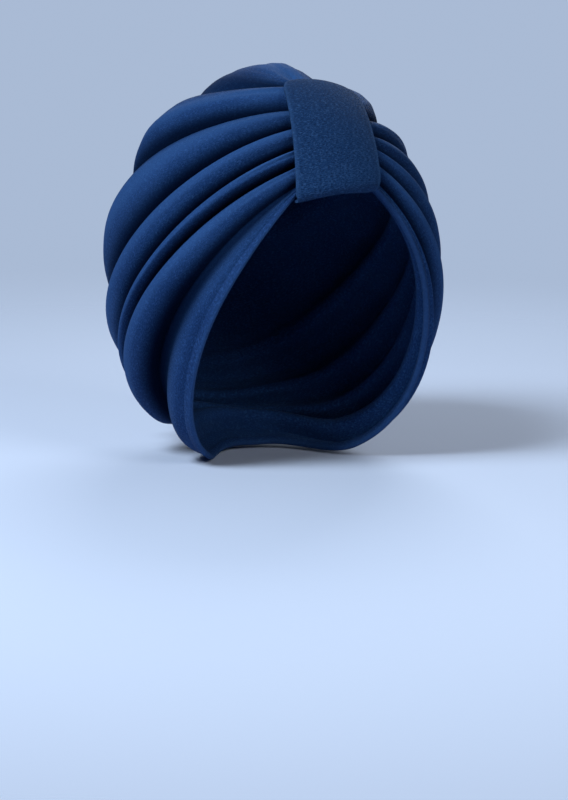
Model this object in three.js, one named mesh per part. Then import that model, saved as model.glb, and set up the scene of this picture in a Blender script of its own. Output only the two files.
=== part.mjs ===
// Turban headwrap of jersey, drawn into folds under a band at the brow. Millimetres, +Z up, front facing
// -Y, +X to the wearer's left. The origin is the top of the head that the wrap sits on.
import * as THREE from 'three';
import { mergeVertices } from 'three/addons/utils/BufferGeometryUtils.js';

// Rounded form that the tops of the folds lie on. It is drawn forward over the neck.
const CAP_HALF_WIDTH = 83.5;
const CAP_HALF_DEPTH = 103.7;
const CAP_CROWN = 108;
const CAP_BELOW = 110;
const NECK_FORWARD = 39.7;

// Cloth of the cap. FOLD_DEPTH is the depth of the deepest fold lines below the form.
const CLOTH_WALL = 2.2;
const FOLD_DEPTH = 8.5;
const HEAD_CLEARANCE = 0.3;
const CREASE_DEPTH = 3;

// Band over the gathers. Its foot is set to the wearer's right and it leans to the left as it rises. The
// taper is the share of its width that is lost at the top, and the skew is the degrees by which the lower
// edge rises to the left. The tail is what is turned in below, to a depth that is a share of FOLD_DEPTH.
const BAND_WIDTH = 44;
const BAND_TAPER = 0.1;
const BAND_THICKNESS = 2.2;
const BAND_FOOT = -2;
const BAND_LEAN = 10;
const BAND_SKEW = 1.5;
const BAND_TAIL = 11;
const BAND_TAIL_DEPTH = 0.65;
const BAND_TAIL_GAP = 0.65;
const BAND_EDGE_DROP = 0.5;

// Strip that edges the opening. It starts at the band with a share of its width, and has the whole of it
// after a share of the way to the back.
const BINDING_WIDTH = 6;
const BINDING_THICKNESS = 3.2;
const BINDING_START = 0.4;
const BINDING_WIDENS = 0.35;
const PIECE_GAP = 0.45;
const HEM_GAP = 0.9;

// Lines between the folds, from the hem to the crown, on the wearer's right and left. The angles are
// degrees above level, where a line leaves the band, passes the ear and crosses the back. The reach is
// where it leaves the band, as a share of the band's half width. The depths are shares of FOLD_DEPTH
// beside the band, over the ear and at the back.
const FOLD_LINES = [
  {
    line: 'hem', back: -60, deepBack: 0.6,
    right: { band: 30, ear: -53.5, reach: 1, deepBand: 0.6, deepEar: 0.6 },
    left: { band: 33, ear: -51, reach: 1, deepBand: 0.6, deepEar: 0.6 },
  },
  {
    line: 'over the hem panel', back: -50, deepBack: 1,
    right: { band: 32.8, ear: -31.5, reach: 1, deepBand: 0.65, deepEar: 0.85 },
    left: { band: 36.6, ear: -40, reach: 1, deepBand: 0.65, deepEar: 0.8 },
  },
  {
    line: 'over the wide fold', back: -45, deepBack: 0.35,
    right: { band: 39.5, ear: -12, reach: 1, deepBand: 1, deepEar: 1 },
    left: { band: 40.5, ear: -22, reach: 1, deepBand: 0.7, deepEar: 0.9 },
  },
  {
    line: 'over the thin fold', back: -39, deepBack: 0.25,
    right: { band: 46, ear: -4.5, reach: 1, deepBand: 1, deepEar: 0.95 },
    left: { band: 45, ear: -1, reach: 1, deepBand: 0.6, deepEar: 0.6 },
  },
  {
    line: 'over the third fold', back: -28, deepBack: 0.15,
    right: { band: 54.5, ear: 14, reach: 1, deepBand: 1, deepEar: 0.9 },
    left: { band: 50, ear: 23.5, reach: 1, deepBand: 0.8, deepEar: 1 },
  },
  {
    line: 'over the fourth fold', back: 0, deepBack: 0.12,
    right: { band: 61.5, ear: 43, reach: 0.95, deepBand: 0.95, deepEar: 0.5 },
    left: { band: 57, ear: 43.5, reach: 0.97, deepBand: 0.9, deepEar: 1 },
  },
  {
    line: 'below the crown dome', back: 57, deepBack: 0.15,
    right: { band: 74, ear: 67, reach: 0.6, deepBand: 0.8, deepEar: 0.3 },
    left: { band: 66, ear: 68, reach: 0.9, deepBand: 0.8, deepEar: 0.5 },
  },
  {
    line: 'crown', back: 76, deepBack: 0,
    right: { band: 77, ear: 90, reach: 0.3, deepBand: 0, deepEar: 0 },
    left: { band: 77, ear: 90, reach: -0.3, deepBand: 0, deepEar: 0 },
  },
];

// Folds between one line and the next. A swell is how far a fold's crest stands off the form, as a share
// of FOLD_DEPTH. A crest is where it lies between the lower line, 0, and the upper line, 1, beside the
// band, over the ear and at the back. The fullness shapes the flank below the crest and the one above it:
// a small one is puffed.
const FOLDS = [
  {
    fold: 'hem panel', fullLow: 1.6, fullHigh: 1.4, swellBand: -0.58, swellBack: -0.5, crestBack: 0.5,
    right: { swell: -0.3, crestBand: 0.5, crestEar: 0.25 },
    left: { swell: -0.3, crestBand: 0.5, crestEar: 0.35 },
  },
  {
    fold: 'wide fold', fullLow: 1.7, fullHigh: 0.55, swellBand: -0.15, swellBack: 0.3, crestBack: 0.55,
    right: { swell: 0.2, crestBand: 0.72, crestEar: 0.82 },
    left: { swell: 0, crestBand: 0.6, crestEar: 0.6 },
  },
  {
    fold: 'thin fold', fullLow: 1.4, fullHigh: 0.6, swellBand: -0.05, swellBack: 0.1, crestBack: 0.5,
    right: { swell: 0, crestBand: 0.65, crestEar: 0.7 },
    left: { swell: 0.05, crestBand: 0.6, crestEar: 0.6 },
  },
  {
    fold: 'third fold', fullLow: 1.6, fullHigh: 0.55, swellBand: -0.05, swellBack: 0.1, crestBack: 0.5,
    right: { swell: 0.05, crestBand: 0.7, crestEar: 0.76 },
    left: { swell: 0.1, crestBand: 0.6, crestEar: 0.6 },
  },
  {
    fold: 'fourth fold', fullLow: 1.5, fullHigh: 0.8, swellBand: -0.05, swellBack: 0.15, crestBack: 0.5,
    right: { swell: 0.15, crestBand: 0.76, crestEar: 0.5 },
    left: { swell: 0.2, crestBand: 0.6, crestEar: 0.5 },
  },
  {
    fold: 'upper fold', fullLow: 1, fullHigh: 1, swellBand: -0.12, swellBack: 0.2, crestBack: 0.5,
    right: { swell: 0.12, crestBand: 0.6, crestEar: 0.4 },
    left: { swell: 0.65, crestBand: 0.5, crestEar: 0.45 },
  },
  {
    fold: 'crown dome', fullLow: 0.8, fullHigh: 0.8, swellBand: -0.45, swellBack: 0.15, crestBack: 1,
    right: { swell: 0.12, crestBand: 1, crestEar: 1 },
    left: { swell: 0.2, crestBand: 1, crestEar: 1 },
  },
];

// Course of the band's middle layer: degrees above level in front, and where it lies between the inside
// of the gathers, 0, and the outside, 1.
const BAND_BOTTOM = 28.2;
const BAND_TOP = 68.5;
const BAND_TURN = [
  { beyond: 3.9, level: 0 },
  { beyond: 2.4, level: 0.1 },
  { beyond: 1.3, level: 0.45 },
  { beyond: 0.5, level: 0.8 },
  { beyond: 2.6, level: 0.98 },
];
const BAND_FACE = [
  { share: 0.25, level: 1 },
  { share: 0.5, level: 1 },
  { share: 0.75, level: 1 },
  { share: 0.93, level: 1 },
  { share: 1, level: 0.99 },
  { share: 1.03, level: 0.96 },
  { share: 1.055, level: 0.9 },
];

const STEPS_PER_FOLD = 5;
const STEPS_BELOW_CREST = 3;
const ROWS_UNDER_BAND = 2;
const ROWS = 26;
const ROW_CROWDING = 1.15;
const BACK_BLEND = 0.25;
const BINDING_SIDES = 8;
const BAND_STEPS_ACROSS = 8;
const BAND_STEPS_ALONG = 30;
const EDGE_ROUNDING = 0.6;
const SAME_POINT = 1e-4;

const FOLD_COUNT = FOLDS.length;
const COLUMNS_PER_SIDE = FOLD_COUNT * STEPS_PER_FOLD;
const COLUMNS = 2 * COLUMNS_PER_SIDE;
const HEAD_DEPTH = FOLD_DEPTH + CLOTH_WALL + HEAD_CLEARANCE;
const HEAD_TOP = CAP_CROWN - HEAD_DEPTH;
const SIGN = { right: -1, left: 1 };
const OTHER = { right: 'left', left: 'right' };

const rad = THREE.MathUtils.degToRad;
const mix = THREE.MathUtils.lerp;

function smooth(value) {
  return THREE.MathUtils.smoothstep(value, 0, 1);
}

// Point at a height above the form, in the direction of a unit vector from the middle of the head.
function formPoint(direction, height) {
  const rise = (direction.z > 0 ? CAP_CROWN : CAP_BELOW) + height;
  const below = Math.min(direction.z, 0);
  return new THREE.Vector3(
    (CAP_HALF_WIDTH + height) * direction.x,
    (CAP_HALF_DEPTH + height) * direction.y - NECK_FORWARD * below * below,
    rise * direction.z - HEAD_TOP,
  );
}

// Direction at an angle over the head, 0 level in front and 90 at the top, set off sideways by a length.
function frontDirection(offset, angle) {
  const x = offset / CAP_HALF_WIDTH;
  const reach = Math.sqrt(1 - x * x);
  return new THREE.Vector3(x, -reach * Math.cos(rad(angle)), reach * Math.sin(rad(angle)));
}

// Sideways place of the band's middle at an angle up the front.
function bandMiddle(angle) {
  return BAND_FOOT + BAND_LEAN * bandShare(angle);
}

// Share of the way from the band's bottom to its top.
function bandShare(angle) {
  return (angle - BAND_BOTTOM) / (BAND_TOP - BAND_BOTTOM);
}

function bandHalf(angle) {
  const share = THREE.MathUtils.clamp(bandShare(angle), 0, 1);
  return BAND_WIDTH / 2 * (1 - BAND_TAPER * share * share);
}

// Circle on the unit sphere through three directions, as a function of the share of the way from first to
// last.
function arcThrough(first, middle, last) {
  const axis = middle.clone().sub(first).cross(last.clone().sub(first)).normalize();
  const centre = axis.clone().multiplyScalar(axis.dot(first));
  const ahead = first.clone().sub(centre);
  const across = axis.clone().cross(ahead);
  const end = last.clone().sub(centre);
  const turn = Math.atan2(end.dot(across), end.dot(ahead));
  const sweep = turn < 0 ? turn + 2 * Math.PI : turn;
  return (share) => centre.clone()
    .addScaledVector(ahead, Math.cos(share * sweep))
    .addScaledVector(across, Math.sin(share * sweep));
}

// Number of the fold that a place lies in. Places count from 0 at the hem to FOLD_COUNT at the crown.
function foldIndex(place) {
  return THREE.MathUtils.clamp(Math.floor(place), 0, FOLD_COUNT - 1);
}

// Value that the fold lines give at a place between them.
function between(place, read) {
  const index = foldIndex(place);
  return mix(read(FOLD_LINES[index]), read(FOLD_LINES[index + 1]), place - index);
}

// Share of the way from the band's edge to the middle of the back.
function rowShare(row) {
  const share = (row - ROWS_UNDER_BAND) / (ROWS - ROWS_UNDER_BAND);
  return share > 0 ? Math.pow(share, ROW_CROWDING) : 0;
}

// Directions along one line of the cloth, from under the band to the middle of the back.
function clothLine(place, side) {
  const outs = {};
  const arcs = {};
  const backAngle = between(place, (line) => line.back);
  const back = new THREE.Vector3(0, Math.cos(rad(backAngle)), Math.sin(rad(backAngle)));
  for (const which of ['right', 'left']) {
    const band = between(place, (line) => line[which].band);
    const ear = between(place, (line) => line[which].ear);
    const reach = between(place, (line) => line[which].reach);
    const offset = bandMiddle(band) + SIGN[which] * reach * (bandHalf(band) - BINDING_WIDTH / 4);
    const over = new THREE.Vector3(SIGN[which] * Math.cos(rad(ear)), 0, Math.sin(rad(ear)));
    outs[which] = frontDirection(offset, band);
    arcs[which] = arcThrough(outs[which], over, back);
  }
  const middle = outs.right.clone().add(outs.left).normalize();
  return (row) => {
    if (row < ROWS_UNDER_BAND) {
      return middle.clone().lerp(outs[side], row / ROWS_UNDER_BAND).normalize();
    }
    const share = rowShare(row);
    const blend = 0.5 * smooth((share - 1 + BACK_BLEND) / BACK_BLEND);
    return arcs[side](share).lerp(arcs[OTHER[side]](2 - share), blend).normalize();
  };
}

// Value along a fold's length, from its values in the middle of the band, beside the band, over the ear
// and at the back.
function alongFold(row, middle, band, ear, back) {
  const share = rowShare(row);
  const start = mix(middle, band, Math.min(row / ROWS_UNDER_BAND, 1));
  return mix(mix(start, ear, smooth(share * 2)), back, smooth(share * 2 - 1));
}

function lineDepth(line, side, row) {
  const middle = (line.right.deepBand + line.left.deepBand) / 2;
  return FOLD_DEPTH * alongFold(row, middle, line[side].deepBand, line[side].deepEar, line.deepBack);
}

function foldSwell(fold, side, row) {
  return FOLD_DEPTH * alongFold(row, fold.swellBand, fold.swellBand, fold[side].swell, fold.swellBack);
}

function foldCrest(fold, side, row) {
  const middle = (fold.right.crestBand + fold.left.crestBand) / 2;
  return alongFold(row, middle, fold[side].crestBand, fold[side].crestEar, fold.crestBack);
}

// Outer face of the cloth at a share of the way through a fold, below or above its crest. In the hem
// panel it is set in from the hem to leave room for the binding.
function clothPoint(index, step, side, row) {
  const fold = FOLDS[index];
  const crest = foldCrest(fold, side, row);
  const stepsBelow = crest < 1 ? STEPS_BELOW_CREST : STEPS_PER_FOLD;
  const below = step <= stepsBelow;
  const way = below ? step / stepsBelow : (STEPS_PER_FOLD - step) / (STEPS_PER_FOLD - stepsBelow);
  const phase = below ? crest * way : 1 - (1 - crest) * way;
  const rise = Math.pow(Math.sin(Math.PI / 2 * way), below ? fold.fullLow : fold.fullHigh);
  const line = FOLD_LINES[below ? index : index + 1];
  const start = smooth(1 - 3 * rowShare(row));
  const crease = index === FOLD_COUNT - 1 ? CREASE_DEPTH * Math.pow(phase, 6) * start : 0;
  const height = foldSwell(fold, side, row) * rise - lineDepth(line, side, row) * (1 - rise) - crease;
  const shares = bindingShares(side, row);
  const seat = index === 0 ? mix(shares.binding + shares.gap, 1, phase) : index + phase;
  return formPoint(clothLine(seat, side)(row), height);
}

// Shares of the hem panel's width that the binding and a gap take up. The binding narrows towards the
// band.
function bindingShares(side, row) {
  const low = formPoint(clothLine(0, side)(row), -FOLD_DEPTH);
  const high = formPoint(clothLine(1, side)(row), -FOLD_DEPTH);
  const panel = low.distanceTo(high);
  const widened = smooth(rowShare(row) / BINDING_WIDENS);
  const width = Math.min(BINDING_WIDTH * mix(BINDING_START, 1, widened), panel / 2);
  return { binding: width / panel, gap: HEM_GAP / panel };
}

// Points of the cloth's outer face, by column from the right hem over the crown to the left hem.
function clothGrid() {
  const grid = [];
  for (let column = 0; column <= COLUMNS; column += 1) {
    const side = column <= COLUMNS_PER_SIDE ? 'right' : 'left';
    const step = Math.min(column, COLUMNS - column);
    const points = [];
    const index = foldIndex(step / STEPS_PER_FOLD);
    for (let row = 0; row <= ROWS; row += 1) {
      points.push(clothPoint(index, step - index * STEPS_PER_FOLD, side, row));
    }
    grid.push(points);
  }
  return grid;
}

// Neighbour of a grid point. The two sides of the cloth meet along the first and the last row.
function gridPoint(grid, column, row) {
  if (row < 0) {
    return grid[COLUMNS - column][-row];
  }
  return row > ROWS ? grid[COLUMNS - column][2 * ROWS - row] : grid[column][row];
}

// Inner face of a wall of even thickness behind the outer face. The crown line's two ends take their
// direction from the next row.
function innerGrid(grid) {
  return grid.map((points, column) => points.map((point, index) => {
    const row = column === COLUMNS_PER_SIDE
      ? THREE.MathUtils.clamp(index, ROWS_UNDER_BAND + 1, ROWS - 1)
      : index;
    const before = grid[Math.max(column - 1, 0)][row];
    const after = grid[Math.min(column + 1, COLUMNS)][row];
    const along = gridPoint(grid, column, row + 1).clone().sub(gridPoint(grid, column, row - 1));
    const inward = along.cross(after.clone().sub(before)).normalize();
    return point.clone().addScaledVector(inward, CLOTH_WALL);
  }));
}

// Closed body from triangles that are given by three points each. Those with two points in one place are
// dropped.
function solidFrom(triangles) {
  const whole = triangles.filter(([a, b, c]) => (
    Math.min(a.distanceTo(b), b.distanceTo(c), c.distanceTo(a)) > SAME_POINT
  ));
  const geometry = new THREE.BufferGeometry().setFromPoints(whole.flat());
  const merged = mergeVertices(geometry, SAME_POINT);
  merged.computeVertexNormals();
  return merged;
}

function patch(a, b, c, d) {
  return [[a, b, c], [a, c, d]];
}

// Triangles of a grid's face, seen from the side where columns run up and rows run to the left.
function faceOf(grid) {
  const triangles = [];
  for (let column = 0; column < grid.length - 1; column += 1) {
    for (let row = 0; row < grid[column].length - 1; row += 1) {
      const next = grid[column + 1];
      triangles.push(...patch(grid[column][row], grid[column][row + 1], next[row + 1], next[row]));
    }
  }
  return triangles;
}

function turned(triangles) {
  return triangles.map(([a, b, c]) => [a, c, b]);
}

// Wall between an edge of the outer face and the same edge of the inner face.
function rimOf(outerEdge, innerEdge) {
  return faceOf([innerEdge, outerEdge]);
}

function clothGeometry() {
  const outer = clothGrid();
  const inner = innerGrid(outer);
  return solidFrom([
    ...turned(faceOf(outer)),
    ...faceOf(inner),
    ...turned(rimOf(outer[0], inner[0])),
    ...rimOf(outer[COLUMNS], inner[COLUMNS]),
  ]);
}

// Sections of the binding all round the opening, from under the band by the right side to the left side.
function bindingGeometry() {
  const flatToCorner = 1 / Math.cos(Math.PI / BINDING_SIDES);
  const sectionAt = (side, row) => {
    const share = bindingShares(side, row).binding;
    return Array.from({ length: BINDING_SIDES + 1 }, (_, corner) => {
      const turn = ((corner % BINDING_SIDES) + 0.5) * 2 * Math.PI / BINDING_SIDES;
      const place = share / 2 * (1 + Math.cos(turn) * flatToCorner);
      const seat = lineDepth(FOLD_LINES[0], side, row) + CLOTH_WALL;
      const height = BINDING_THICKNESS / 2 * (1 + Math.sin(turn) * flatToCorner) - seat;
      return formPoint(clothLine(place, side)(row), height);
    });
  };
  const sections = [];
  for (let row = 0; row <= ROWS; row += 1) {
    sections.push(sectionAt('right', row));
  }
  for (let row = ROWS - 1; row >= 0; row -= 1) {
    sections.push(sectionAt('left', row));
  }
  return solidFrom(turned(faceOf(sections)));
}

// Angle and height above the form of the band's middle layer, along its length.
function bandCourse() {
  const outside = PIECE_GAP + BAND_THICKNESS / 2 + BAND_EDGE_DROP;
  const inside = -(FOLD_DEPTH * BAND_TAIL_DEPTH + CLOTH_WALL + BAND_TAIL_GAP + BAND_THICKNESS / 2);
  const tail = THREE.MathUtils.radToDeg(BAND_TAIL / CAP_HALF_DEPTH);
  const points = [new THREE.Vector2(BAND_BOTTOM + tail, inside)];
  for (const { beyond, level } of BAND_TURN) {
    points.push(new THREE.Vector2(BAND_BOTTOM + beyond, mix(inside, outside, level)));
  }
  for (const { share, level } of BAND_FACE) {
    points.push(new THREE.Vector2(mix(BAND_BOTTOM, BAND_TOP, share), mix(inside, outside, level)));
  }
  const curve = new THREE.SplineCurve(points);
  return Array.from({ length: BAND_STEPS_ALONG + 1 }, (_, step) => curve.getPoint(step / BAND_STEPS_ALONG));
}

function bandGeometry() {
  const course = bandCourse();
  const faces = [1, -1].map((face) => {
    const grid = [];
    for (let step = 0; step <= BAND_STEPS_ACROSS; step += 1) {
      const across = 2 * step / BAND_STEPS_ACROSS - 1;
      const half = BAND_THICKNESS / 2 * Math.sqrt(1 - EDGE_ROUNDING * Math.pow(across, 8));
      grid.push(course.map((spot, index) => {
        const before = course[Math.max(index - 1, 0)];
        const after = course[Math.min(index + 1, BAND_STEPS_ALONG)];
        const climb = rad(after.x - before.x) * CAP_HALF_DEPTH;
        const run = new THREE.Vector2(climb, after.y - before.y).normalize();
        const skew = BAND_SKEW * across * THREE.MathUtils.clamp(1 - bandShare(spot.x), 0, 1);
        const angle = spot.x + skew - THREE.MathUtils.radToDeg(face * half * run.y / CAP_HALF_DEPTH);
        const height = spot.y + face * half * run.x - BAND_EDGE_DROP * across * across;
        return formPoint(frontDirection(bandMiddle(spot.x) + across * bandHalf(spot.x), angle), height);
      }));
    }
    return grid;
  });
  const [outer, inner] = faces;
  const endRim = (end) => rimOf(outer.map((line) => line[end]), inner.map((line) => line[end]));
  return solidFrom([
    ...turned(faceOf(outer)),
    ...faceOf(inner),
    ...turned(rimOf(outer[0], inner[0])),
    ...rimOf(outer[BAND_STEPS_ACROSS], inner[BAND_STEPS_ACROSS]),
    ...endRim(0),
    ...turned(endRim(BAND_STEPS_ALONG)),
  ]);
}

const group = new THREE.Group();

function addPiece(name, geometry, color, roughness) {
  const mesh = new THREE.Mesh(geometry, new THREE.MeshStandardMaterial({ color, roughness, metalness: 0 }));
  mesh.name = name;
  group.add(mesh);
}

addPiece('turban_cloth', clothGeometry(), 0x1b3560, 0.9);
addPiece('front_band', bandGeometry(), 0x20395c, 0.95);
addPiece('hem_binding', bindingGeometry(), 0x1a3259, 0.9);

export default group;
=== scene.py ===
"""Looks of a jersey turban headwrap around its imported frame.

Metres, +Z up, front facing -Y, +X to the wearer's left. The cloth is one sheet whose folds leave the band at
the brow and run back over both sides of the head. Its shape is worked out from the same rounded form and
sizes as the frame's own solids, on a finer grid.
"""

import logging
import math
from collections.abc import Callable, Sequence
from dataclasses import dataclass, field
from enum import Enum

import bmesh
import bpy
import numpy as np
from mathutils import Matrix, Vector


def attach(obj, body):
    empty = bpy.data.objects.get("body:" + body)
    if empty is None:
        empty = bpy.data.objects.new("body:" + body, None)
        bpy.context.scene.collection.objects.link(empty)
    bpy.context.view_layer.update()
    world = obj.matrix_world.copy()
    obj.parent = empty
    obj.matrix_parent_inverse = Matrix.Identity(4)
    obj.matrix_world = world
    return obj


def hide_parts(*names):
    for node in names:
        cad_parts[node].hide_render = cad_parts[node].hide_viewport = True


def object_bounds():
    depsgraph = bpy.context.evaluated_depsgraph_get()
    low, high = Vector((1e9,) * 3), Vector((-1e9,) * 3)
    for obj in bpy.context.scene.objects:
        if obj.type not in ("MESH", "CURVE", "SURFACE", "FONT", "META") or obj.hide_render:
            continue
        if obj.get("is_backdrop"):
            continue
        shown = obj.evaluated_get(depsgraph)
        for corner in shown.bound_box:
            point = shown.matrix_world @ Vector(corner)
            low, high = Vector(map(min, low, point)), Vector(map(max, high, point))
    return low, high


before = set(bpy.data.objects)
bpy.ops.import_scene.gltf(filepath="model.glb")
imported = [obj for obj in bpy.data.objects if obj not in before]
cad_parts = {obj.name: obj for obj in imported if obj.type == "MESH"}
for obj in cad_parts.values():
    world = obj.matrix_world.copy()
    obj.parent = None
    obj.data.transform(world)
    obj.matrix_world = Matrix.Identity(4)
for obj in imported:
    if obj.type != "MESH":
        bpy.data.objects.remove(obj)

LOG = logging.getLogger("turban")
MM = 0.001
BODY = "root"
PHOTO_WIDTH = 568
PHOTO_HEIGHT = 800


class Side(Enum):
    """Side of the wearer's head, with the sign of its x."""

    RIGHT = -1
    LEFT = 1

    @property
    def other(self) -> "Side":
        """The opposite side."""
        return Side.LEFT if self is Side.RIGHT else Side.RIGHT


def smooth(value: np.ndarray) -> np.ndarray:
    """Smooth step from 0 at 0 to 1 at 1."""
    t = np.clip(value, 0.0, 1.0)
    return t * t * (3.0 - 2.0 * t)


def unit(vectors: np.ndarray) -> np.ndarray:
    """Vectors of length 1 in the given directions."""
    return vectors / np.maximum(np.linalg.norm(vectors, axis=-1, keepdims=True), 1e-12)


def mix(first: np.ndarray, last: np.ndarray, share: np.ndarray) -> np.ndarray:
    """Value a share of the way from the first to the last."""
    return first + (last - first) * share


@dataclass(frozen=True)
class HeadForm:
    """Rounded form that the tops of the folds lie on. Below its middle it is drawn forward."""

    half_width: float = 83.5 * MM
    half_depth: float = 103.7 * MM
    crown: float = 108.0 * MM
    below: float = 110.0 * MM
    low_forward: float = 39.7 * MM
    head_top: float = 97.0 * MM

    def point(self, direction: np.ndarray, height: np.ndarray) -> np.ndarray:
        """Points at a height above the form.

        Args:
            direction: Unit vectors from the middle of the head.
            height: Height above the form at each vector.

        Returns:
            Points in the frame.
        """
        up = direction[..., 2]
        rise = np.where(up > 0.0, self.crown, self.below) + height
        forward = self.low_forward * np.minimum(up, 0.0) ** 2
        return np.stack(
            [
                (self.half_width + height) * direction[..., 0],
                (self.half_depth + height) * direction[..., 1] - forward,
                rise * up - self.head_top,
            ],
            axis=-1,
        )

    def front(self, offset: np.ndarray, angle: np.ndarray) -> np.ndarray:
        """Directions at an angle over the head, set off sideways.

        Args:
            offset: Sideways offset, to the wearer's left.
            angle: Degrees, 0 level in front and 90 at the top.

        Returns:
            Unit vectors.
        """
        x = np.asarray(offset) / self.half_width
        reach = np.sqrt(1.0 - x * x)
        turn = np.radians(angle)
        return np.stack([x + 0.0 * turn, -reach * np.cos(turn), reach * np.sin(turn)], axis=-1)


@dataclass(frozen=True)
class LineSide:
    """One side of a line between two folds: degrees above level at the band and over the ear, how far out it
    starts as a share of half the band, and its depths as shares of the deepest fold."""

    band: float
    ear: float
    reach: float
    deep_band: float
    deep_ear: float


@dataclass(frozen=True)
class FoldLine:
    """Line between two folds. Its depth is a share of the deepest fold, and its slot is the share of each
    flank beside it that lies at the bottom of the crease. The back angle is in degrees above level."""

    name: str
    back: float
    deep_back: float
    slot: float
    right: LineSide
    left: LineSide

    def side(self, side: Side) -> LineSide:
        """The line on one side of the head."""
        return self.right if side is Side.RIGHT else self.left


@dataclass(frozen=True)
class FoldSide:
    """One side of a fold: its swell off the form as a share of the deepest fold, and where its crest lies
    between the lower line, 0, and the upper line, 1."""

    swell: float
    crest_band: float
    crest_ear: float


@dataclass(frozen=True)
class Fold:
    """Fold between one line and the next. The fullness values shape its two flanks: small is puffed."""

    name: str
    full_low: float
    full_high: float
    swell_band: float
    swell_back: float
    crest_back: float
    right: FoldSide
    left: FoldSide

    def side(self, side: Side) -> FoldSide:
        """The fold on one side of the head."""
        return self.right if side is Side.RIGHT else self.left


FOLD_LINES = (
    FoldLine(
        "hem", -60, 0.5, 0,
        LineSide(30, -53.5, 1, 0.5, 0.5), LineSide(33, -51, 1, 0.5, 0.5),
    ),
    FoldLine(
        "over hem panel", -50, 1, 0.2,
        LineSide(32.2, -32, 1, 0.6, 1), LineSide(36, -41, 1, 0.85, 1),
    ),
    FoldLine(
        "over wide fold", -46, 0.35, 0.14,
        LineSide(38.5, -15, 1, 1, 1), LineSide(40.5, -25, 1, 0.9, 1),
    ),
    FoldLine(
        "over thin fold", -41, 0.25, 0.14,
        LineSide(44.3, -8, 1, 1, 1), LineSide(45.5, -5, 1, 0.9, 0.9),
    ),
    FoldLine(
        "over third fold", -31, 0.15, 0.14,
        LineSide(52, 9.5, 1, 1, 1), LineSide(50.5, 17.5, 1, 1, 1),
    ),
    FoldLine(
        "over fourth fold", 0, 0.12, 0.14,
        LineSide(59, 41.5, 0.95, 1, 0.8), LineSide(57, 40, 0.97, 1, 1),
    ),
    FoldLine(
        "below crown dome", 57, 0.15, 0.06,
        LineSide(74, 66, 0.6, 0.8, 0.4), LineSide(70, 73, 0.9, 0.8, 0.7),
    ),
    FoldLine(
        "crown", 76, 0, 0,
        LineSide(77, 90, 0.3, 0, 0), LineSide(77, 90, -0.3, 0, 0),
    ),
)

FOLDS = (
    Fold("hem panel", 1.2, 1.2, -0.45, -0.4, 0.5, FoldSide(-0.2, 0.4, 0.25), FoldSide(-0.2, 0.5, 0.35)),
    Fold("wide fold", 0.6, 0.5, -0.12, 0.25, 0.55, FoldSide(0.2, 0.7, 0.76), FoldSide(0.1, 0.6, 0.6)),
    Fold("thin fold", 0.6, 0.55, -0.05, 0.1, 0.5, FoldSide(0.05, 0.6, 0.6), FoldSide(0.1, 0.6, 0.6)),
    Fold("third fold", 0.6, 0.5, -0.05, 0.1, 0.5, FoldSide(0.08, 0.64, 0.68), FoldSide(0.1, 0.6, 0.6)),
    Fold("fourth fold", 0.6, 0.55, -0.05, 0.12, 0.5, FoldSide(0.15, 0.6, 0.6), FoldSide(0.15, 0.6, 0.5)),
    Fold("upper fold", 0.6, 0.7, -0.1, 0.15, 0.5, FoldSide(0.12, 0.55, 0.45), FoldSide(0.5, 0.5, 0.45)),
    Fold("crown dome", 0.6, 0.8, -0.35, 0.12, 1, FoldSide(0.1, 1, 1), FoldSide(0.15, 1, 1)),
)


@dataclass(frozen=True)
class Wave:
    """Fine tension wave across the folds: its height as a share of the ripple, waves to a fold, how far it
    leans apart on the two sides, its slant towards the back, and where it starts."""

    height: float
    count: float
    lean: float
    slant: float
    start: float


WAVES = (
    Wave(1.0, 2.3, 1.6, 0.0, 1.1),
    Wave(0.7, 3.7, 0.0, -1.3, 4.0),
    Wave(0.5, 5.9, 0.0, 2.1, 0.4),
)


@dataclass(frozen=True)
class BandCourse:
    """Course of the band over the gathers. It leans to the wearer's left as it rises, and is turned in below.

    The turn gives degrees past the bottom and levels from inside the cloth, 0, to outside, 1. The face gives
    shares of the way to the top and levels.
    """

    width: float = 44.0 * MM
    taper: float = 0.1
    thickness: float = 2.2 * MM
    foot: float = -2.0 * MM
    lean: float = 10.0 * MM
    skew: float = 1.5
    tail: float = 11.0 * MM
    tail_gap: float = 0.65 * MM
    edge_drop: float = 0.5 * MM
    bottom: float = 28.2
    top: float = 68.5
    turned_depth: float = 0.65
    top_corner: float = 5.5
    top_round: float = 9.0 * MM
    low_corner: float = 2.2
    low_round: float = 2.5 * MM
    turn: tuple[tuple[float, float], ...] = ((3.9, 0), (2.4, 0.1), (1.3, 0.45), (0.5, 0.8), (2.6, 0.98))
    face: tuple[tuple[float, float], ...] = (
        (0.25, 1), (0.5, 1), (0.75, 1), (0.93, 1), (1, 0.98), (1.03, 0.93), (1.055, 0.85),
    )

    def middle(self, angle: np.ndarray) -> np.ndarray:
        """Sideways place of the band's middle at an angle up the front."""
        return self.foot + self.lean * (angle - self.bottom) / (self.top - self.bottom)

    def half(self, angle: np.ndarray) -> np.ndarray:
        """Half the band's width at an angle up the front: it narrows towards the top."""
        share = np.clip((angle - self.bottom) / (self.top - self.bottom), 0.0, 1.0)
        return self.width / 2.0 * (1.0 - self.taper * share**2)

    def rounded_half(self, angle: np.ndarray) -> np.ndarray:
        """Half the width with the corners rounded at the top edge and at the turn below."""
        end = self.bottom + self.face[-1][0] * (self.top - self.bottom)
        high = np.clip((angle - end + self.top_corner) / self.top_corner, 0.0, 1.0)
        low = np.clip((self.bottom + self.low_corner - angle) / self.low_corner, 0.0, 1.0)
        top_inset = self.top_round * (1.0 - np.sqrt(1.0 - high**2))
        low_inset = self.low_round * (1.0 - np.sqrt(1.0 - low**2))
        return self.half(angle) - top_inset - low_inset


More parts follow.
